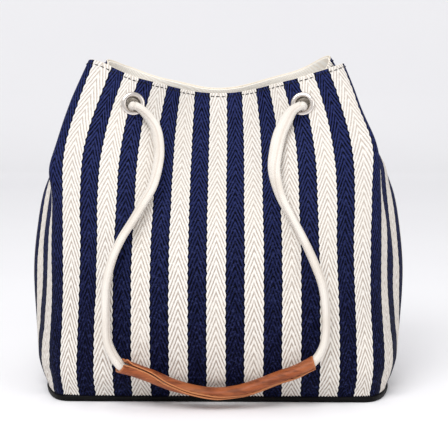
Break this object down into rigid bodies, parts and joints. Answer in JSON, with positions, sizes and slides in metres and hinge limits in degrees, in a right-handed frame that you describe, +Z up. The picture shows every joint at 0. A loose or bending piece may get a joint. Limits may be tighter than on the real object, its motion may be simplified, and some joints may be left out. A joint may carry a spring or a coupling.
{
  "type": "tote bag",
  "caption": "Striped canvas shoulder tote with folded side gussets, dark base, metal eyelets, rope handles with leather grips, cream lining and a magnetic snap.",
  "frame": {"origin": "under the middle of the bag, on the surface it stands on", "axes": "+Z up, -Y out of the front of the bag, +X to the right as seen from the front"},
  "size_m": [0.352, 0.2402, 0.304],
  "materials": {
    "canvas": "woven navy and cream stripes in a herringbone weave",
    "base_leather": "near-black, matte",
    "board": "plain stiffener board",
    "lining": "cream cotton twill",
    "dark_thread": "waxed topstitching thread",
    "eyelet_metal": "polished nickel plate",
    "rope": "soft off-white cotton cord",
    "snap_metal": "plated magnetic snap",
    "tan_leather": "cognac leather, satin",
    "light_thread": "tan stitching thread"
  },
  "bodies": {
    "bag": {"outer_front": "canvas", "outer_back": "canvas", "gusset_left": "canvas", "gusset_right": "canvas", "base_panel": "base_leather", "base_board": "board", "lining_front": "lining", "lining_back": "lining", "lining_base": "lining", "facing_front": "lining", "facing_back": "lining", "rim_thread": "dark_thread", "eyelet_front_left": "eyelet_metal", "eyelet_front_right": "eyelet_metal", "eyelet_back_left": "eyelet_metal", "eyelet_back_right": "eyelet_metal", "washer_front_left": "eyelet_metal", "washer_front_right": "eyelet_metal", "washer_back_left": "eyelet_metal", "washer_back_right": "eyelet_metal", "rope_end_front_left": "rope", "rope_end_front_right": "rope", "rope_end_back_left": "rope", "rope_end_back_right": "rope", "snap_stud": "snap_metal", "snap_socket": "snap_metal", "snap_patch_front": "tan_leather", "snap_patch_back": "tan_leather"},
    "handle_front": {"rope_front": "rope", "grip_front": "tan_leather", "grip_thread_front": "light_thread"},
    "handle_back": {"rope_back": "rope", "grip_back": "tan_leather", "grip_thread_back": "light_thread"}
  },
  "joints": [
    {"name": "handle_front_swing", "type": "hinge", "parent": "bag", "child": "handle_front", "pos_m": [0, -0.0225, 0.2664], "axis": [-1, 0, 0], "range_deg": [0, 155]},
    {"name": "handle_back_swing", "type": "hinge", "parent": "bag", "child": "handle_back", "pos_m": [0, 0.0945, 0.2664], "axis": [1, 0, 0], "range_deg": [0, 165]}
  ]
}
